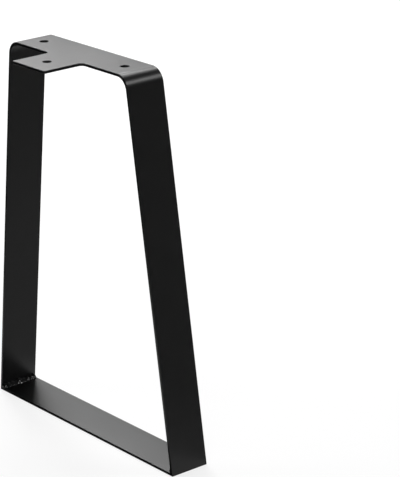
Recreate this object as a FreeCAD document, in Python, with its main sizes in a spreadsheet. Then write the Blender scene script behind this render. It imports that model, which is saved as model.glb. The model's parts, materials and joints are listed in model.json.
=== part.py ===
"""Trestle table leg: flat steel folded into a splayed frame and closed at the floor by a welded bar.

The leg stands on the floor at Z = 0, with X along the floor bar, Y across the strap and Z up.
The tongue of the T-shaped top plate points along -Y.  All lengths are in millimetres.
"""

import FreeCAD, Part
import math
import os
import Sketcher
from FreeCAD import Placement, Rotation, Vector

OUT = "parts"
TOUCH = 1e-4  # two coordinates closer than this are the same
SHARP = math.radians(20.0)  # faces that turn by more than this meet in a sharp edge
START, END, CENTRE = range(1, 4)  # the points of a sketch line or arc
X_AXIS, Y_AXIS = range(-1, -3, -1)  # a sketch's own axes; its origin is the start of the first

# Driving dimensions: alias, value, what it sets
SIZES = [
    ("leg_height", 400.0, "floor to the top of the mounting plate"),
    ("foot_length", 300.0, "outside length along the floor"),
    ("top_length", 194.0, "outside length at the sharp corners of the top bends"),
    ("strap_width", 44.0, "width of the flat steel, strap and floor bar alike"),
    ("strap_thickness", 3.0, "thickness of the folded strap"),
    ("bend_radius", 13.0, "inside radius of the two top bends"),
    ("tongue_width", 54.0, "width of the mounting tongue"),
    ("tongue_length", 45.0, "how far the tongue stands out from the strap"),
    ("tongue_root_radius", 5.0, "hollow where the tongue leaves the strap"),
    ("tongue_corner_radius", 1.5, "rounding of the tongue's two free corners"),
    ("hole_diameter", 9.5, "screw holes in the mounting plate"),
    ("hole_margin", 16.0, "start of a bend to the middle of the strap hole beside it"),
    ("tongue_hole_setback", 22.5, "free end of the tongue to the middle of its hole"),
    ("edge_radius", 0.5, "softening of the cut edges"),
    ("bar_thickness", 3.0, "thickness of the floor bar"),
    ("weld_leg", 5.0, "size of a weld bead at its puddles"),
    ("weld_core", 4.6, "size of a weld bead between its puddles"),
    ("weld_pitch", 6.6, "distance from one weld puddle to the next"),
]

# Angles and places that follow from the sizes
SPLAY = "atan((Sizes.foot_length - Sizes.top_length) / (2 * Sizes.leg_height))"
LEAN = f"(90 deg - {SPLAY})"
OUTER_BEND = "(Sizes.bend_radius + Sizes.strap_thickness)"
FLAT_END = f"(Sizes.top_length / 2 - {OUTER_BEND} * tan({LEAN} / 2))"
SEAT = f"(Sizes.foot_length / 2 - Sizes.strap_thickness / cos({SPLAY}))"
CORNER = f"({SEAT} - Sizes.bar_thickness * tan({SPLAY}))"
BEAD_RUN = "(Sizes.strap_width - 2 * Sizes.edge_radius - 2 * Sizes.weld_leg)"

doc = FreeCAD.newDocument("trestle_leg")


def add_sheet():
    """The spreadsheet of driving dimensions, one row each: name, value, note."""
    sheet = doc.addObject("Spreadsheet::Sheet", "Sizes")
    for row, (alias, value, note) in enumerate(SIZES, start=1):
        sheet.set(f"A{row}", alias)
        sheet.set(f"B{row}", str(value))
        sheet.set(f"C{row}", note)
        sheet.setAlias(f"B{row}", alias)
    doc.recompute()
    return sheet


sheet = add_sheet()


def size(expression):
    """What an expression on the sheet comes to, in millimetres or degrees."""
    result = sheet.evalExpression(expression)
    return getattr(result, "Value", result)


def new_sketch(body, name, role, lift=None):
    """A sketch on one of the body's origin planes, raised from it by an expression."""
    sketch = body.newObject("Sketcher::SketchObject", name)
    plane = next(item for item in body.Origin.OriginFeatures if item.Role == role)
    sketch.AttachmentSupport = [(plane, "")]
    sketch.MapMode = "FlatFace"
    if lift:
        sketch.setExpression("AttachmentOffset.Base.z", lift)
    return sketch


def drive(sketch, name, expression, kind, *where):
    """Add a dimension to a sketch and bind it to an expression on the sheet."""
    first = size(expression)
    if kind == "Angle":
        first = math.radians(first)
    index = sketch.addConstraint(Sketcher.Constraint(kind, *where, first))
    sketch.renameConstraint(index, name)
    sketch.setExpression(f"Constraints.{name}", expression)


def tie(sketch, kind, *where):
    """Add a relation without a size to a sketch."""
    sketch.addConstraint(Sketcher.Constraint(kind, *where))


def line(sketch, start, end):
    """Draw a line and return its number in the sketch."""
    return sketch.addGeometry(Part.LineSegment(Vector(*start), Vector(*end)))


def arc(sketch, middle, radius, start_angle, end_angle):
    """Draw an arc, counter-clockwise between two angles, and return its number."""
    circle = Part.Circle(Vector(*middle), Vector(0, 0, 1), radius)
    return sketch.addGeometry(Part.ArcOfCircle(circle, start_angle, end_angle))


def closed_outline(sketch, points):
    """Draw a closed run of straight lines and return their numbers."""
    lines = [line(sketch, a, b) for a, b in zip(points, points[1:] + points[:1])]
    for this, following in zip(lines, lines[1:] + lines[:1]):
        tie(sketch, "Coincident", this, END, following, START)
    return lines


def pad_across(body, name, sketch):
    """Pad a side profile to the width of the steel, half to each side of the sketch."""
    pad = body.newObject("PartDesign::Pad", name)
    pad.Profile = sketch
    pad.SideType = "Symmetric"
    pad.setExpression("Length", "Sizes.strap_width")
    return pad


def round_edges(body, name, wanted, radius):
    """Fillet those edges of the body's last feature that a test picks out."""
    doc.recompute()
    base = body.Tip
    edges = enumerate(base.Shape.Edges, start=1)
    picked = [f"Edge{number}" for number, edge in edges if wanted(base.Shape, edge)]
    fillet = body.newObject("PartDesign::Fillet", name)
    fillet.Base = (base, picked)
    fillet.setExpression("Radius", radius)
    return fillet


def is_sharp(shape, edge):
    """True where the two faces beside an edge turn away from each other."""
    middle = edge.valueAt((edge.FirstParameter + edge.LastParameter) / 2)
    faces = shape.ancestorsOfType(edge, Part.Face)
    normals = [face.normalAt(*face.Surface.parameter(middle)) for face in faces]
    return len(normals) == 2 and normals[0].getAngle(normals[1]) > SHARP


def folded_profile(sketch):
    """Side view of the strap: two legs and the top, an outer and an inner line round shared bends."""
    height, foot = size("Sizes.leg_height"), size("Sizes.foot_length / 2")
    splay = math.radians(size(SPLAY))
    bend_x, bend_z = size(FLAT_END), height - size(OUTER_BEND)
    skins = []
    for radius, toe in ((size(OUTER_BEND), foot), (size("Sizes.bend_radius"), size(SEAT))):
        knee_x, knee_z = bend_x + radius * math.cos(splay), bend_z + radius * math.sin(splay)
        left_leg = line(sketch, (-toe, 0), (-knee_x, knee_z))
        left_bend = arc(sketch, (-bend_x, bend_z), radius, math.pi / 2, math.pi - splay)
        top = line(sketch, (-bend_x, bend_z + radius), (bend_x, bend_z + radius))
        right_bend = arc(sketch, (bend_x, bend_z), radius, splay, math.pi / 2)
        right_leg = line(sketch, (knee_x, knee_z), (toe, 0))
        tie(sketch, "Tangent", left_leg, END, left_bend, END)
        tie(sketch, "Tangent", left_bend, START, top, START)
        tie(sketch, "Tangent", top, END, right_bend, END)
        tie(sketch, "Tangent", right_bend, START, right_leg, START)
        tie(sketch, "Equal", left_bend, right_bend)
        tie(sketch, "Symmetric", left_leg, START, right_leg, END, Y_AXIS)
        tie(sketch, "PointOnObject", right_leg, END, X_AXIS)
        skins.append((left_leg, left_bend, top, right_bend, right_leg))
    outer, inner = skins
    left_toe = line(sketch, (-foot, 0), (-size(SEAT), 0))
    right_toe = line(sketch, (foot, 0), (size(SEAT), 0))
    tie(sketch, "Coincident", left_toe, START, outer[0], START)
    tie(sketch, "Coincident", left_toe, END, inner[0], START)
    tie(sketch, "Coincident", right_toe, START, outer[4], END)
    tie(sketch, "Coincident", right_toe, END, inner[4], END)
    tie(sketch, "Coincident", outer[3], CENTRE, inner[3], CENTRE)
    tie(sketch, "Symmetric", outer[2], START, outer[2], END, Y_AXIS)
    tie(sketch, "Horizontal", inner[2])
    tie(sketch, "Parallel", outer[4], inner[4])
    drive(sketch, "height", "Sizes.leg_height", "DistanceY", X_AXIS, START, outer[2], START)
    drive(sketch, "foot", "Sizes.foot_length", "DistanceX", outer[0], START, outer[4], END)
    drive(sketch, "lean", LEAN, "Angle", outer[0])
    drive(sketch, "outer_bend", OUTER_BEND, "Radius", outer[3])
    drive(sketch, "inner_bend", "Sizes.bend_radius", "Radius", inner[3])


def make_bent_strap():
    """The folded strap: legs and top in one profile, the tongue, three screw holes, soft edges."""
    body = doc.addObject("PartDesign::Body", "bent_strap")
    side = new_sketch(body, "strap_side_view", "XZ_Plane")
    folded_profile(side)
    pad_across(body, "folded_flat", side)

    half, reach = size("Sizes.tongue_width / 2"), size("Sizes.tongue_length")
    near = -size("Sizes.strap_width / 2")
    outline = new_sketch(body, "tongue_outline", "XY_Plane", "Sizes.leg_height")
    corners = [(-half, near), (-half, near - reach), (half, near - reach), (half, near)]
    left, free_end, right, root = closed_outline(outline, corners)
    tie(outline, "Vertical", left)
    tie(outline, "Vertical", right)
    tie(outline, "Symmetric", left, END, right, START, Y_AXIS)
    tie(outline, "Horizontal", root)
    drive(outline, "width", "Sizes.tongue_width", "DistanceX", free_end, START, free_end, END)
    drive(outline, "reach", "Sizes.tongue_length", "DistanceY", right, START, right, END)
    drive(outline, "edge", "Sizes.strap_width / 2", "DistanceY", root, START, X_AXIS, START)
    tongue = body.newObject("PartDesign::Pad", "tongue")
    tongue.Profile = outline
    tongue.Reversed = True
    tongue.setExpression("Length", "Sizes.strap_thickness")

    def upright_at(y):
        """Picks the tongue's upright edges at one distance across the strap."""
        def wanted(shape, edge):
            low, high = edge.BoundBox.YMin, edge.BoundBox.YMax
            upright = edge.BoundBox.ZLength > size("Sizes.strap_thickness") - TOUCH
            beside = abs(abs(edge.BoundBox.Center.x) - half) < TOUCH
            return upright and beside and abs(low - y) < TOUCH and abs(high - y) < TOUCH
        return wanted

    round_edges(body, "tongue_roots", upright_at(near), "Sizes.tongue_root_radius")
    round_edges(body, "tongue_corners", upright_at(near - reach), "Sizes.tongue_corner_radius")

    drilled = new_sketch(body, "screw_holes", "XY_Plane", "Sizes.leg_height")
    radius = size("Sizes.hole_diameter / 2")
    hole_x = f"({FLAT_END} - Sizes.hole_margin)"
    tongue_hole = "(Sizes.strap_width / 2 + Sizes.tongue_length - Sizes.tongue_hole_setback)"
    places = [(-size(hole_x), 0), (size(hole_x), 0), (0, -size(tongue_hole))]
    rings = [Part.Circle(Vector(*place), Vector(0, 0, 1), radius) for place in places]
    west, east, south = (drilled.addGeometry(ring) for ring in rings)
    tie(drilled, "Equal", west, east)
    tie(drilled, "Equal", east, south)
    tie(drilled, "PointOnObject", east, CENTRE, X_AXIS)
    tie(drilled, "PointOnObject", south, CENTRE, Y_AXIS)
    tie(drilled, "Symmetric", west, CENTRE, east, CENTRE, Y_AXIS)
    drive(drilled, "hole", "Sizes.hole_diameter", "Diameter", east)
    drive(drilled, "spacing", f"2 * {hole_x}", "DistanceX", west, CENTRE, east, CENTRE)
    drive(drilled, "setback", tongue_hole, "DistanceY", south, CENTRE, X_AXIS, START)
    holes = body.newObject("PartDesign::Pocket", "holes")
    holes.Profile = drilled
    holes.setExpression("Length", "Sizes.strap_thickness")

    def cut_edge(shape, edge):
        """Picks every sharp edge but the hole rims and the feet on the floor."""
        return is_sharp(shape, edge) and not edge.isClosed() and edge.BoundBox.ZMax > TOUCH

    round_edges(body, "soft_edges", cut_edge, "Sizes.edge_radius")
    return body


def make_foot_bar():
    """The floor bar: its ends are cut to the lean of the legs and seat on their inner faces."""
    body = doc.addObject("PartDesign::Body", "foot_bar")
    side = new_sketch(body, "bar_side_view", "XZ_Plane")
    low, high, thick = size(SEAT), size(CORNER), size("Sizes.bar_thickness")
    bottom, right, top, left = closed_outline(side, [(-low, 0), (low, 0), (high, thick), (-high, thick)])
    tie(side, "Symmetric", bottom, START, bottom, END, Y_AXIS)
    tie(side, "Symmetric", top, START, top, END, Y_AXIS)
    tie(side, "PointOnObject", bottom, START, X_AXIS)
    drive(side, "length", f"2 * {SEAT}", "DistanceX", bottom, START, bottom, END)
    drive(side, "upper", f"2 * {CORNER}", "DistanceX", top, END, top, START)
    drive(side, "thickness", "Sizes.bar_thickness", "DistanceY", bottom, START, left, START)
    pad_across(body, "flat_bar", side)

    def long_edge(shape, edge):
        """Picks the four edges that run along the bar."""
        return edge.BoundBox.XLength > size("Sizes.foot_length / 2")

    round_edges(body, "soft_edges", long_edge, "Sizes.edge_radius")
    return body


def make_weld_bead(label, corner, turn):
    """A fillet weld in an inner bottom corner: a core with a row of overlapping puddles.

    The corner lies along the bead's own Y axis, with the bar's top face in its XY plane.
    The turn about Z points the bead's own X axis at the middle of the bar.
    """
    body = doc.addObject("PartDesign::Body", label)
    body.Placement = Placement(Vector(), Rotation(Vector(0, 0, 1), turn))
    body.setExpression("Placement.Base.x", corner)
    body.setExpression("Placement.Base.z", "Sizes.bar_thickness")

    def swing(name, sketch):
        """Turn a profile from the bar's top face up to the leg's inner face."""
        turned = body.newObject("PartDesign::Revolution", name)
        turned.Profile = sketch
        turned.ReferenceAxis = (sketch, ["V_Axis"])
        turned.Reversed = True
        turned.setExpression("Angle", LEAN)
        return turned

    half, core, bulge = size(BEAD_RUN) / 2, size("Sizes.weld_core"), size("Sizes.weld_leg")
    strip = new_sketch(body, "core_strip", "XY_Plane")
    low, outer, high, inner = closed_outline(strip, [(0, -half), (core, -half), (core, half), (0, half)])
    tie(strip, "Horizontal", low)
    tie(strip, "Horizontal", high)
    tie(strip, "Vertical", outer)
    tie(strip, "Symmetric", inner, START, inner, END, X_AXIS)
    tie(strip, "PointOnObject", inner, START, Y_AXIS)
    drive(strip, "size", "Sizes.weld_core", "DistanceX", low, START, low, END)
    drive(strip, "run", BEAD_RUN, "DistanceY", outer, START, outer, END)
    swing("core", strip)

    drop = new_sketch(body, "puddle_half", "XY_Plane")
    dome = arc(drop, (0, -half), bulge, -math.pi / 2, math.pi / 2)
    chord = line(drop, (0, bulge - half), (0, -bulge - half))
    tie(drop, "Coincident", dome, END, chord, START)
    tie(drop, "Coincident", dome, START, chord, END)
    tie(drop, "PointOnObject", dome, CENTRE, Y_AXIS)
    tie(drop, "PointOnObject", chord, START, Y_AXIS)
    tie(drop, "PointOnObject", chord, END, Y_AXIS)
    drive(drop, "bulge", "Sizes.weld_leg", "Radius", dome)
    drive(drop, "first", f"{BEAD_RUN} / 2", "DistanceY", dome, CENTRE, X_AXIS, START)
    puddle = swing("puddle", drop)

    row = body.newObject("PartDesign::LinearPattern", "puddle_row")
    row.Originals = [puddle]
    row.Direction = (drop, ["V_Axis"])
    row.setExpression("Length", BEAD_RUN)
    row.setExpression("Occurrences", f"round({BEAD_RUN} / Sizes.weld_pitch) + 1")
    body.Tip = row
    return body


def check(parts):
    """Stop if any object failed or any part is not one sound solid."""
    for item in doc.Objects:
        if "Invalid" in item.State or "Error" in item.State:
            raise RuntimeError(f"{item.Label} failed: {item.State}")
    for part in parts:
        shape = part.Shape
        if shape.isNull() or not shape.isValid() or len(shape.Solids) != 1:
            raise RuntimeError(f"{part.Label} is not one sound solid")


parts = [
    make_bent_strap(),
    make_foot_bar(),
    make_weld_bead("left_weld_bead", f"-{CORNER}", 0),
    make_weld_bead("right_weld_bead", CORNER, 180),
]
doc.recompute()
check(parts)

os.makedirs(OUT, exist_ok=True)
for part in parts:
    part.Shape.exportStep(f"{OUT}/{part.Label}.step")
    print(f"{part.Label}: {part.Shape.Volume:.0f} mm3, {part.Shape.Area:.0f} mm2")
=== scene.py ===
# %% [markdown]
# Trestle table leg
# The real leg is made from flat steel. One strip is folded into a top plate and two splayed sides, a
# short bar closes the frame along the floor, and two welds hold the bar in its corners. All of it is
# then coated black. The measured solids are loaded first, because every piece below is modelled
# around them, in metres and in the same frame.

# %% Load the measured solids
import json
import math
import random

import bmesh
import bpy
from mathutils import Matrix, Vector


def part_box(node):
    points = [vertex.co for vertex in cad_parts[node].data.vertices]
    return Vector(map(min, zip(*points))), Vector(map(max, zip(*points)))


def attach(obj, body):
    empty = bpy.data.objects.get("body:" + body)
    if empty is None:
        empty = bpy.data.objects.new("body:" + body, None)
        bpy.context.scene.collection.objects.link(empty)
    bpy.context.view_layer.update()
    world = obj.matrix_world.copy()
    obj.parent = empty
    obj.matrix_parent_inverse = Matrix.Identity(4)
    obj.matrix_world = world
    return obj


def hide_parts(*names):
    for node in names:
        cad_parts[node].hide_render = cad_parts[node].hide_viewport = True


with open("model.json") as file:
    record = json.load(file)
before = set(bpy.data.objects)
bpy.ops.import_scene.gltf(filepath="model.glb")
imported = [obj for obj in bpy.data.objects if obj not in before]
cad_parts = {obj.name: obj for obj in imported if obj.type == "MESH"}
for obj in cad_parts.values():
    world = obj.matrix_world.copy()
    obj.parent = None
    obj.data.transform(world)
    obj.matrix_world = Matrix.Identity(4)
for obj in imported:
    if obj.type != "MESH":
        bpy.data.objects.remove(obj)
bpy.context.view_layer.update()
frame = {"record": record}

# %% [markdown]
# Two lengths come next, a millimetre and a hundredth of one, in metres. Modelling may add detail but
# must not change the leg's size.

MM = 0.001
HAIR = 0.01 * MM

# %% [markdown]
# The camera stands where the photograph was taken from: to the right of the leg and a little above it,
# a little over two metres away, with a long lens. A long lens keeps the two sides nearly parallel.
# A camera could be aimed with a Track To constraint, but three plain angles and a place say the same
# with nothing left to solve.

# %% Camera
CAMERA_PLACE = (1.7607, -1.2733, 0.9673)
CAMERA_AZIMUTH = math.radians(51.226)
CAMERA_ELEVATION = math.radians(19.389)
CAMERA_ROLL = math.radians(-1.465)
LENS_MM = 171.1

turn = Matrix.Rotation(CAMERA_AZIMUTH, 3, "Z")
turn = turn @ Matrix.Rotation(math.pi / 2 - CAMERA_ELEVATION, 3, "X")
turn = turn @ Matrix.Rotation(CAMERA_ROLL, 3, "Z")
bpy.ops.object.camera_add(location=CAMERA_PLACE, rotation=turn.to_euler())
camera = bpy.context.object
camera.name = "camera"
camera.data.lens = LENS_MM
camera.data.clip_end = 60
bpy.context.scene.camera = camera
print("camera at", CAMERA_PLACE, "with a", LENS_MM, "mm lens")

# %% [markdown]
# Modelling by hand is a loop of selecting something and acting on it. These helpers do the selecting:
# the first opens a new primitive in edit mode with its place already in its mesh, the second selects
# vertices, edges or faces by where they are, the third adds a modifier and applies it at once, and the
# last closes the piece.

# %% Helpers for selecting and shaping
def open_piece(name):
    """Name the new primitive, put its place and size into its mesh and open it in edit mode."""
    piece = bpy.context.object
    piece.name = name
    piece.data.name = name
    bpy.ops.object.transform_apply(location=True, rotation=True, scale=True)
    bpy.ops.object.mode_set(mode="EDIT")
    return piece


def pick(kind, test):
    """Select only the vertices, edges or faces whose corners all pass the test."""
    bpy.ops.mesh.select_mode(type=kind)
    bpy.ops.mesh.select_all(action="DESELECT")
    data = bpy.context.edit_object.data
    mesh = bmesh.from_edit_mesh(data)
    found = 0
    for part in {"VERT": mesh.verts, "EDGE": mesh.edges, "FACE": mesh.faces}[kind]:
        corners = [part] if kind == "VERT" else part.verts
        if all(test(corner.co) for corner in corners):
            part.select_set(True)
            found += 1
    bmesh.update_edit_mesh(data)
    return found


def near(value, target):
    """True where two lengths agree to a hundredth of a millimetre."""
    return abs(value - target) < HAIR


def modify(piece, kind, **settings):
    """Add a modifier, set it up and apply it."""
    modifier = piece.modifiers.new(kind.lower(), kind)
    for setting, value in settings.items():
        setattr(modifier, setting, value)
    bpy.ops.object.modifier_apply(modifier=modifier.name)


def close_piece(piece, smooth_angle=40):
    """Shade the piece: flat faces stay flat, and what turns by less than the angle looks round."""
    bpy.ops.object.shade_smooth_by_angle(angle=math.radians(smooth_angle))
    modify(piece, "WEIGHTED_NORMAL", keep_sharp=True, weight=100)
    print(piece.name, "has", len(piece.data.polygons), "faces, size in mm:",
          [round(side / MM, 2) for side in piece.dimensions])


# %% [markdown]
# The folded strap carries the table. On the real leg a flat T is cut from 3 mm steel, drilled and then
# bent at both ends on a press brake. The model is made in the same order. It could be carved from a
# block, but a sheet that gets its thickness last keeps the wall the same all the way round the bends.
# The sizes come from the solids where a box can give them. The splay follows from the two lengths.

# %% Sizes of the strap
strap_low, strap_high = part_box("bent_strap")
bar_low, bar_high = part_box("foot_bar")
LEG_HEIGHT = strap_high.z
HALF_FOOT = strap_high.x
HALF_STRAP = strap_high.y
TONGUE_TIP = strap_low.y
STEEL = bar_high.z - bar_low.z
HALF_TOP = 97 * MM
HALF_TONGUE = 27 * MM
OUTER_BEND = 13 * MM + STEEL
ROOT_RADIUS = 5 * MM
TIP_RADIUS = 1.5 * MM

SPLAY = math.atan((HALF_FOOT - HALF_TOP) / LEG_HEIGHT)
LEAN = math.pi / 2 - SPLAY
FLAT_END = HALF_TOP - OUTER_BEND * math.tan(LEAN / 2)
print("splay", round(math.degrees(SPLAY), 2), "degrees, flat as far as", round(FLAT_END / MM, 2), "mm")

# %% [markdown]
# First the flat T. A plane is scaled to the flat part of the top plate and cut in two places, so that
# the piece of its edge between the cuts can be pulled out as the tongue. Dissolving the cuts leaves one
# face, and bevelling its corner points gives the small round at the tongue's root and tip.

# %% Flat top plate with its tongue
bpy.ops.object.select_all(action="DESELECT")
bpy.ops.mesh.primitive_plane_add(size=1, location=(0, 0, LEG_HEIGHT))
bpy.ops.transform.resize(value=(2 * FLAT_END, 2 * HALF_STRAP, 1))
strap = open_piece("folded_strap")
for side in (-1, 1):
    bpy.ops.mesh.select_all(action="SELECT")
    bpy.ops.mesh.bisect(plane_co=(side * HALF_TONGUE, 0, 0), plane_no=(1, 0, 0))
pick("EDGE", lambda co: near(co.y, -HALF_STRAP) and abs(co.x) < HALF_TONGUE + HAIR)
bpy.ops.mesh.extrude_region_move(
    TRANSFORM_OT_translate={"value": (0, TONGUE_TIP + HALF_STRAP, 0)})
bpy.ops.mesh.select_all(action="SELECT")
bpy.ops.mesh.normals_make_consistent(inside=False)
bpy.ops.mesh.dissolve_limited(angle_limit=math.radians(1))

ROUNDS = ((-HALF_STRAP, ROOT_RADIUS, 10), (TONGUE_TIP, TIP_RADIUS, 6))
for line, radius, steps in ROUNDS:
    pick("VERT", lambda co: near(abs(co.x), HALF_TONGUE) and near(co.y, line))
    bpy.ops.mesh.bevel(offset=radius, segments=steps, affect="VERTICES")
print("flat plate outline:", len(bmesh.from_edit_mesh(strap.data).verts), "points")

# %% [markdown]
# Then the two bends and the sides. Spin turns the plate's end edge round the middle of the bend, and
# the edge that comes out of it is pulled straight down the slope, to a little below the floor. A real
# bend is round, so it gets enough steps to stay smooth when it is seen close up.

# %% Bends and splayed sides
BEND_STEPS = 28
SEAM_GAP = 0.001 * MM
BELOW_FLOOR = 2 * STEEL
bend_height = LEG_HEIGHT - OUTER_BEND
side_drop = bend_height + OUTER_BEND * math.cos(LEAN) + BELOW_FLOOR
for side in (-1, 1):
    pick("EDGE", lambda co: near(co.x, side * FLAT_END))
    bpy.ops.mesh.spin(steps=BEND_STEPS, angle=-side * LEAN, axis=(0, 1, 0),
                      center=(side * FLAT_END, 0, bend_height))
    bpy.ops.mesh.extrude_region_move(
        TRANSFORM_OT_translate={"value": (side * side_drop * math.tan(SPLAY), 0, -side_drop)})
bpy.ops.mesh.select_all(action="SELECT")
bpy.ops.mesh.remove_doubles(threshold=SEAM_GAP)
bpy.ops.mesh.normals_make_consistent(inside=False)
skin = bmesh.from_edit_mesh(strap.data)
if max(skin.faces, key=lambda face: face.calc_area() * abs(face.normal.z)).normal.z < 0:
    bpy.ops.mesh.flip_normals()
print("outer skin:", len(skin.faces), "faces")

# %% [markdown]
# Solidify gives the skin its steel thickness on the inside, so the outside stays at its measured size.
# The sides were made too long on purpose: one flat cut at floor level then trims both soles level,
# which the slanted end of a thickened sheet would not be.

# %% Thickness and level soles
bpy.ops.object.mode_set(mode="OBJECT")
modify(strap, "SOLIDIFY", thickness=STEEL, offset=-1, use_even_offset=True)
bpy.ops.object.mode_set(mode="EDIT")
bpy.ops.mesh.select_all(action="SELECT")
bpy.ops.mesh.bisect(plane_co=(0, 0, 0), plane_no=(0, 0, 1), use_fill=True, clear_inner=True)
bpy.ops.object.mode_set(mode="OBJECT")
print("strap size in mm:", [round(side / MM, 2) for side in strap.dimensions])

# %% [markdown]
# No edge of coated steel is knife sharp: rolled strip has soft edges and the coat flows over what is
# left. A narrow round along every sharp edge is what catches a thin line of light there. Each edge could
# be picked by hand, but the Bevel's angle limit finds them all, and leaves the steps of the bends alone.

# %% Rounded edges
EDGE_ROUND = 0.5 * MM
ROUND_STEPS = 3
SHARP_TURN = 40


def round_edges(piece, width, sharpest):
    """Round every edge that turns by more than the angle, in degrees."""
    modify(piece, "BEVEL", width=width, segments=ROUND_STEPS, limit_method="ANGLE",
           angle_limit=math.radians(sharpest))


round_edges(strap, EDGE_ROUND, SHARP_TURN)
print("strap has", len(strap.data.polygons), "faces after rounding")

# %% [markdown]
# Three plain holes take the wood screws. Their places and size are on record as the part's mounts, so
# they are read from there. Each is drilled with a cylinder and a Boolean, as a drill would do it, and
# the cylinder is thrown away. The holes come after the long edges, because a drilled rim is crisper: a
# second, finer Bevel takes only edges that are still square.

# %% Screw holes
mounts = {mount["name"]: mount for mount in frame["record"]["mounts"]}
pair = mounts["strap_screw_holes"]
half_spacing = pair["dims"]["spacing_x_mm"] * MM / 2
HOLE_RADIUS = pair["dims"]["hole_r_mm"] * MM
HOLE_FACETS = 56
RIM_ROUND = 0.3 * MM
SQUARE_TURN = 60
hole_places = [(-half_spacing, pair["pos_m"][1]), (half_spacing, pair["pos_m"][1]),
               tuple(mounts["tongue_screw_hole"]["pos_m"][:2])]
for x, y in hole_places:
    bpy.ops.object.select_all(action="DESELECT")
    bpy.ops.mesh.primitive_cylinder_add(
        vertices=HOLE_FACETS, radius=HOLE_RADIUS, depth=4 * STEEL, location=(x, y, LEG_HEIGHT))
    drill = bpy.context.object
    bpy.context.view_layer.objects.active = strap
    modify(strap, "BOOLEAN", object=drill, operation="DIFFERENCE", solver="EXACT")
    bpy.data.objects.remove(drill)
strap.select_set(True)
round_edges(strap, RIM_ROUND, SQUARE_TURN)
print("drilled", len(hole_places), "holes of", round(2 * HOLE_RADIUS / MM, 2), "mm")
close_piece(strap)

# %% [markdown]
# The floor bar is a plain length of the same flat steel, cut at both ends to the slope of the sides so
# that it fits tight between them. A cube is stretched to size, each end is cut off with a slanted
# plane, and only the long edges are rounded, because the ends are butted against the strap.

# %% Floor bar between the soles
SEAT = HALF_FOOT - STEEL / math.cos(SPLAY)
bpy.ops.object.select_all(action="DESELECT")
bpy.ops.mesh.primitive_cube_add(size=1, location=(0, 0, STEEL / 2))
bpy.ops.transform.resize(value=(2 * HALF_FOOT, 2 * HALF_STRAP, STEEL))
bar = open_piece("floor_bar")
for side in (-1, 1):
    bpy.ops.mesh.select_all(action="SELECT")
    bpy.ops.mesh.bisect(plane_co=(side * SEAT, 0, 0), use_fill=True, clear_outer=True,
                        plane_no=(side * math.cos(SPLAY), 0, math.sin(SPLAY)))
pick("EDGE", lambda co: True)
for edge in bmesh.from_edit_mesh(bar.data).edges:
    edge.select_set(abs(edge.verts[0].co.x - edge.verts[1].co.x) > SEAT)
bpy.ops.mesh.bevel(offset=EDGE_ROUND, segments=ROUND_STEPS, affect="EDGES")
bpy.ops.object.mode_set(mode="OBJECT")
close_piece(bar)

# %% [markdown]
# The weld beads are the only rough shapes on the leg. A welder fills the corner in short dabs, and each
# dab freezes as a small rounded puddle that overlaps the one before. A bead could be swept along the
# corner as one ribbed tube, but then every rib is alike. So it is built from what it is, a row of
# stretched balls on a thin rod: wide shallow ones for the ripples, whose middles lie deep in the steel,
# and small round ones for the fuller dabs. Each is trimmed to what stands out of the corner. Remesh then
# fuses them into one closed skin, and a little noise and smoothing take the regular look away.

# %% Sizes of a weld bead
CORNER = SEAT - STEEL * math.tan(SPLAY)
BEAD_TILT = math.radians(36)
RIPPLE_DEPTH = 18 * MM
ROOT_LENGTH = 36 * MM
DAB_DEPTH = 2.1 * MM
DAB_WANDER = 0.3 * MM
BEAD_VOXEL = 0.25 * MM
BEAD_SINK = 0.6 * MM
WEDGE_SIZE = 80 * MM
BEAD_SMOOTHING = 6
BEAD_SMOOTH_ANGLE = 60

lumps = bpy.data.textures.new("weld_lumps", "CLOUDS")
lumps.noise_scale = 2.6 * MM
LUMP_HEIGHT = 0.15 * MM
print("beads lie in the corners", round(CORNER / MM, 2), "mm from the middle")

# %% [markdown]
# One function lays either bead. Each ball is listed as its place along the corner, half its length
# and how high it stands out of the corner. The bead on the left shows in the photograph, where single
# fuller dabs catch the light in its middle and crowd together at its far end. The other one is hidden
# there, so it is a plain twin. A wedge of the air in the corner trims each ball with a Boolean.
# Two flat cuts could do that too, but they give slightly different meshes each time. The wedge goes a
# little into the steel, as a weld does, so no gap shows along its toes.

# %% Lay the two beads
def corner_wedge(side):
    """Make the block of air in one inner corner, sunk a little into the steel."""
    bpy.ops.object.select_all(action="DESELECT")
    foot = CORNER + BEAD_SINK * (1 + math.tan(SPLAY))
    bpy.ops.mesh.primitive_cube_add(
        size=WEDGE_SIZE, location=(side * (foot - WEDGE_SIZE / 2), 0, STEEL - BEAD_SINK + WEDGE_SIZE / 2))
    wedge = open_piece("wedge")
    pick("VERT", lambda co: near(co.x, side * foot) and co.z > WEDGE_SIZE / 2)
    bpy.ops.transform.translate(value=(-side * WEDGE_SIZE * math.tan(SPLAY), 0, 0))
    bpy.ops.object.mode_set(mode="OBJECT")
    return wedge


def add_ball(side, wedge, depth, along, half_length, height):
    """Add a stretched ball whose middle lies at this depth below the corner, and trim it."""
    bpy.ops.object.select_all(action="DESELECT")
    across = CORNER + depth * math.sin(BEAD_TILT)
    up = STEEL - depth * math.cos(BEAD_TILT)
    bpy.ops.mesh.primitive_uv_sphere_add(
        segments=64, ring_count=40, radius=depth + height, location=(side * across, along, up))
    bpy.ops.transform.resize(value=(1, half_length / (depth + height), 1))
    modify(bpy.context.object, "BOOLEAN", object=wedge, operation="INTERSECT", solver="EXACT")
    return bpy.context.object


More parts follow.
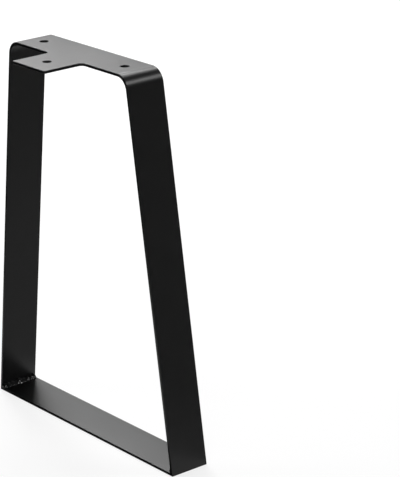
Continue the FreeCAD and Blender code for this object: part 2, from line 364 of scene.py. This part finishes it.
def lay_bead(name, side, ripples, dabs, seed):
    """Model the bead in one inner corner from its ripples and its fuller dabs."""
    chance = random.Random(seed)
    wedge = corner_wedge(side)
    bpy.ops.object.select_all(action="DESELECT")
    bpy.ops.mesh.primitive_cylinder_add(
        radius=DAB_DEPTH, depth=ROOT_LENGTH, rotation=(math.pi / 2, 0, 0),
        location=(side * CORNER, 0, STEEL))
    bead = bpy.context.object
    modify(bead, "BOOLEAN", object=wedge, operation="INTERSECT", solver="EXACT")
    balls = []
    for along, half_length, height in ripples:
        balls.append(add_ball(side, wedge, RIPPLE_DEPTH, along * MM, half_length * MM, height * MM))
    for along, half_length, height in dabs:
        depth = DAB_DEPTH + chance.uniform(-DAB_WANDER, DAB_WANDER)
        balls.append(add_ball(side, wedge, depth, along * MM, half_length * MM, height * MM))
    for ball in balls:
        ball.select_set(True)
    bead.select_set(True)
    bpy.context.view_layer.objects.active = bead
    bpy.ops.object.join()
    bpy.data.objects.remove(wedge)
    open_piece(name)
    bpy.ops.object.mode_set(mode="OBJECT")
    modify(bead, "REMESH", mode="VOXEL", voxel_size=BEAD_VOXEL)
    modify(bead, "DISPLACE", texture=lumps, strength=LUMP_HEIGHT)
    modify(bead, "SMOOTH", factor=0.5, iterations=BEAD_SMOOTHING)
    close_piece(bead, BEAD_SMOOTH_ANGLE)
    return bead


LEFT_RIPPLES = ((-14.4, 13, 3.6), (-9.6, 14, 3.7), (-4.6, 13, 3.6), (0.2, 14, 3.7), (5, 13, 3.5),
                (9.6, 14, 3.7), (14.4, 13, 3.6))
LEFT_DABS = ((-19.4, 2.6, 4.3), (-1.7, 3.6, 5.0), (10.2, 3.4, 5.0), (14.9, 3.2, 5.2), (19, 2.9, 4.9))
RIGHT_RIPPLES = ((-14.2, 13, 3.6), (-8.8, 14, 3.7), (-3.4, 13, 3.5), (1.8, 14, 3.7), (7.2, 13, 3.6),
                 (11, 14, 3.6), (14.4, 13, 3.6))
RIGHT_DABS = ((-19, 2.8, 4.5), (-8.6, 3.0, 4.4), (6.8, 3.2, 4.4), (19.2, 2.6, 4.5))
left_bead = lay_bead("left_bead", -1, LEFT_RIPPLES, LEFT_DABS, seed=4)
right_bead = lay_bead("right_bead", 1, RIGHT_RIPPLES, RIGHT_DABS, seed=9)

# %% [markdown]
# A coat's look is a sum of small numbers, so the node maths is written as plain arithmetic. This small
# class wraps one socket: adding or multiplying it adds a Math node. Every other node comes from the one
# function below it, which takes the node's type, its settings and what goes into its sockets.

# %% Node arithmetic
class Value:
    """A socket whose value can be used in sums."""

    def __init__(self, tree, socket):
        self.tree = tree
        self.socket = socket

    def maths(self, operation, first, second):
        inputs = {0: first, 1: second}
        return add_node(self.tree, "ShaderNodeMath", {"operation": operation}, inputs)["Value"]

    def __add__(self, other):
        return self.maths("ADD", self, other)

    def __mul__(self, other):
        return self.maths("MULTIPLY", self, other)

    def __sub__(self, other):
        return self.maths("SUBTRACT", self, other)

    __radd__ = __add__


def add_node(tree, kind, settings, inputs):
    """Add a node, set it up, feed its sockets and return its outputs by name."""
    node = tree.nodes.new(kind)
    for setting, value in settings.items():
        setattr(node, setting, value)
    for name, value in inputs.items():
        if isinstance(value, Value):
            tree.links.new(value.socket, node.inputs[name])
        else:
            node.inputs[name].default_value = value
    return {output.name: Value(tree, output) for output in node.outputs if output.enabled}


def new_material(name):
    """Make an empty node material and return it with its node tree."""
    material = bpy.data.materials.new(name)
    material.use_nodes = True
    material.node_tree.nodes.clear()
    return material, material.node_tree


# %% [markdown]
# The finish is a satin black powder coat. Powder melts into an almost level film, and three things stay
# visible: a very faint orange-peel ripple a few millimetres across, a finer grain that spreads the
# reflections, and slow drifts in gloss over the length of a part. All three are noise in object space,
# so they keep their size on every piece. The black itself is deep, with a weak mirror at face-on angles
# and a strong one at grazing angles, which is why the top plate shows grey and the sides black.

# %% Black coat
COAT_DEEP = (0.0018, 0.0018, 0.0019, 1)
COAT_PALE = (0.0028, 0.0028, 0.0029, 1)
COAT_IOR = 1.36
COAT_ROUGHNESS = 0.32
WELD_IOR = 1.5
WELD_ROUGHNESS = 0.14
GLOSS_DRIFT = 0.05
GRAIN_GLOSS = 0.04
PEEL_SCALE = 260
GRAIN_SCALE = 1500
DRIFT_SCALE = 22
PEEL_STRENGTH = 0.25
PEEL_HEIGHT = 0.02 * MM
GRAIN_SHARE = 0.2


def powder_coat(name, ior, roughness):
    """Make the black coat with the given strength of mirror and width of gloss."""
    material, tree = new_material(name)
    place = add_node(tree, "ShaderNodeTexCoord", {}, {})["Object"]

    def noise(scale, detail):
        inputs = {"Vector": place, "Scale": scale, "Detail": detail, "Roughness": 0.5}
        return add_node(tree, "ShaderNodeTexNoise", {}, inputs)["Fac"]

    drift = noise(DRIFT_SCALE, 2)
    grain = noise(GRAIN_SCALE, 1)
    peel = noise(PEEL_SCALE, 2)
    black = add_node(tree, "ShaderNodeMix", {"data_type": "RGBA"},
                     {"Factor": drift, "A": COAT_DEEP, "B": COAT_PALE})["Result"]
    bump = add_node(tree, "ShaderNodeBump", {}, {
        "Strength": PEEL_STRENGTH, "Distance": PEEL_HEIGHT,
        "Height": peel + grain * GRAIN_SHARE})["Normal"]
    gloss = roughness + (drift - 0.5) * GLOSS_DRIFT + (grain - 0.5) * GRAIN_GLOSS
    surface = add_node(tree, "ShaderNodeBsdfPrincipled", {}, {
        "Base Color": black, "Roughness": gloss, "IOR": ior, "Normal": bump})["BSDF"]
    add_node(tree, "ShaderNodeOutputMaterial", {}, {"Surface": surface})
    print(name, "has", len(tree.nodes), "nodes")
    return material


coat = powder_coat("black_powder_coat", COAT_IOR, COAT_ROUGHNESS)
weld_coat = powder_coat("black_weld_coat", WELD_IOR, WELD_ROUGHNESS)

# %% [markdown]
# Every piece now gets its coat, rides on the one rigid body and takes the place of the solid that it was
# modelled from. The solid stays in the model for weight and contact, and only its picture changes.
# Powder gathers in the lumps of a weld and melts to a thicker, glossier film there, so the beads get a
# stronger and sharper mirror than the flat steel.

# %% Coat the pieces and seat them on the frame
DRESS = {strap: ("bent_strap", coat), bar: ("foot_bar", coat),
         left_bead: ("left_weld_bead", weld_coat), right_bead: ("right_weld_bead", weld_coat)}
for piece, (node, finish) in DRESS.items():
    piece.data.materials.append(finish)
    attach(piece, "root")
    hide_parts(node)
    print(piece.name, "stands for", node)

# %% [markdown]
# The leg stands on a plain white sweep. Part of its white is lit paper and part is a steady white that
# only the camera and reflections see, so the background is clean and the soft shadow stays.

# %% Floor
FLOOR_SIZE = 24
PAPER_WHITE = (0.9, 0.9, 0.9, 1)
STEADY_WHITE_SHARE = 0.8
bpy.ops.object.select_all(action="DESELECT")
bpy.ops.mesh.primitive_plane_add(size=FLOOR_SIZE, location=(0, 0, 0))
floor = bpy.context.object
floor.name = "floor"
paper, tree = new_material("white_paper")
ray = add_node(tree, "ShaderNodeLightPath", {}, {})
seen = ray["Is Camera Ray"] + ray["Is Glossy Ray"] + ray["Is Transmission Ray"]
lit = add_node(tree, "ShaderNodeBsdfDiffuse", {}, {"Color": PAPER_WHITE})["BSDF"]
steady = add_node(tree, "ShaderNodeEmission", {}, {"Strength": 1.0})["Emission"]
both = add_node(tree, "ShaderNodeMixShader", {}, {
    0: seen * STEADY_WHITE_SHARE, 1: lit, 2: steady})["Shader"]
add_node(tree, "ShaderNodeOutputMaterial", {}, {"Surface": both})
floor.data.materials.append(paper)
print("floor", FLOOR_SIZE, "m across")

# %% [markdown]
# Black gloss is lit by what it mirrors. A low panel on the left, behind the leg, and a higher one beside
# it turn the flat tops grey for the camera. A softbox further round runs the grey over the start of the
# bend, and a small box on the right draws the light line across it and sets the sparks on the weld. Two
# dim boxes in front turn the tops grey for someone who looks from behind. Each lamp is written by its
# direction from the leg, its distance and size, and the brightness of its face, where 1 is white.

# %% Studio lamps
AIM = Vector((0, 0, 0.25))


def facing(azimuth, elevation, distance):
    """A place seen from the leg at these angles, in degrees, and the turn that looks back at the leg."""
    turn, tilt = math.radians(azimuth), math.radians(elevation)
    out = Vector((math.sin(turn) * math.cos(tilt), -math.cos(turn) * math.cos(tilt), math.sin(tilt)))
    return AIM + out * distance, out.to_track_quat("Z", "Y").to_euler()


def add_lamp(name, azimuth, elevation, distance, width, height, brightness):
    """Hang a soft rectangular lamp that lights the leg and stays out of the picture."""
    place, turn = facing(azimuth, elevation, distance)
    bpy.ops.object.light_add(type="AREA", location=place, rotation=turn)
    lamp = bpy.context.object
    lamp.name = name
    lamp.data.shape = "RECTANGLE"
    lamp.data.size = width
    lamp.data.size_y = height
    lamp.data.energy = brightness * math.pi * width * height
    lamp.visible_camera = False
    print(name, "at", [round(v, 2) for v in place])


add_lamp("left_panel", azimuth=252, elevation=13.5, distance=3.2,
         width=0.87, height=1.31, brightness=17.2)
add_lamp("high_panel", azimuth=241.4, elevation=39.7, distance=3.0,
         width=1.05, height=1.36, brightness=13.9)
add_lamp("back_softbox", azimuth=209.5, elevation=46.5, distance=3.0,
         width=1.05, height=0.42, brightness=14.8)
add_lamp("side_softbox", azimuth=137, elevation=38, distance=2.4,
         width=0.8, height=0.5, brightness=11.8)
add_lamp("front_softbox", azimuth=45, elevation=22, distance=2.6,
         width=0.9, height=0.6, brightness=6.2)
add_lamp("fill_softbox", azimuth=315, elevation=26, distance=2.6,
         width=0.9, height=0.6, brightness=6.2)

# %% [markdown]
# Cards are put round the set, as for any black gloss: without them the sides would mirror white paper
# and turn grey. Two stand on the right, a far one and a low one close by, and a sheet lies behind the
# leg, all grey. The card on the left is black, and so is the strip in front of the bar, so that the
# steel's near edges mirror black and show as the darkest lines of the leg. Only reflections see the
# cards, so they cast no shadow on the sweep and block no light: their grey and black are painted
# reflection, a painted shade that the sides and near edges mirror in place of the white paper.

# %% Cards
CARD_LIFT = 0.1 * MM
STRIP_DEPTH = 60 * MM


def add_card(name, place, turn, size, shade):
    """Put up a card that only reflections can see: its shade is a painted reflection."""
    bpy.ops.mesh.primitive_plane_add(size=1, location=place, rotation=turn)
    bpy.ops.transform.resize(value=size)
    card = bpy.context.object
    card.name = name
    board, tree = new_material(name)
    flat = add_node(tree, "ShaderNodeBsdfDiffuse", {}, {"Color": (shade, shade, shade, 1)})["BSDF"]
    add_node(tree, "ShaderNodeOutputMaterial", {}, {"Surface": flat})
    card.data.materials.append(board)
    card.visible_camera = False
    card.visible_diffuse = False
    card.visible_shadow = False
    print(name, "at", [round(v, 2) for v in place])


def stand_card(name, azimuth, distance, width, height, shade):
    """Stand an upright card on the floor, facing the leg."""
    place, turn = facing(azimuth, 0, distance)
    place.z = height / 2
    add_card(name, place, turn, (width, width, height), shade)


def lay_card(name, low, high, shade):
    """Lay a card just above the floor between two corners, given in metres."""
    middle = ((low[0] + high[0]) / 2, (low[1] + high[1]) / 2, CARD_LIFT)
    add_card(name, middle, (0, 0, 0), (high[0] - low[0], high[1] - low[1], 1), shade)


# Painted reflection: upright cards, seen only in reflections, give the sides grey and black to mirror.
stand_card("right_card", azimuth=127, distance=0.8, width=1.6, height=0.5, shade=0.26)
stand_card("low_card", azimuth=127, distance=0.35, width=1.6, height=0.24, shade=0.30)
stand_card("left_card", azimuth=-51, distance=0.4, width=1.6, height=0.5, shade=0.02)
# Painted shade: a black strip on the floor, seen only in reflections, that the bar's near face mirrors.
lay_card("painted_shade_strip", (-HALF_FOOT, -HALF_STRAP - STRIP_DEPTH), (HALF_FOOT, -HALF_STRAP), shade=0.02)
# Painted reflection: a grey sheet, seen only in reflections, dims the white floor that the sides mirror.
lay_card("painted_shade_sheet", (-0.12, HALF_STRAP + 0.01), (0.6, 0.5), shade=0.47)

# %% [markdown]
# The room itself is a soft even grey light. Colours are shown plainly, with no film look.

# %% Room light and view
ROOM_LIGHT = 0.11
world = bpy.data.worlds.new("room")
world.use_nodes = True
world.node_tree.nodes["Background"].inputs["Color"].default_value = (1, 1, 1, 1)
world.node_tree.nodes["Background"].inputs["Strength"].default_value = ROOM_LIGHT
bpy.context.scene.world = world
bpy.context.scene.view_settings.view_transform = "Standard"
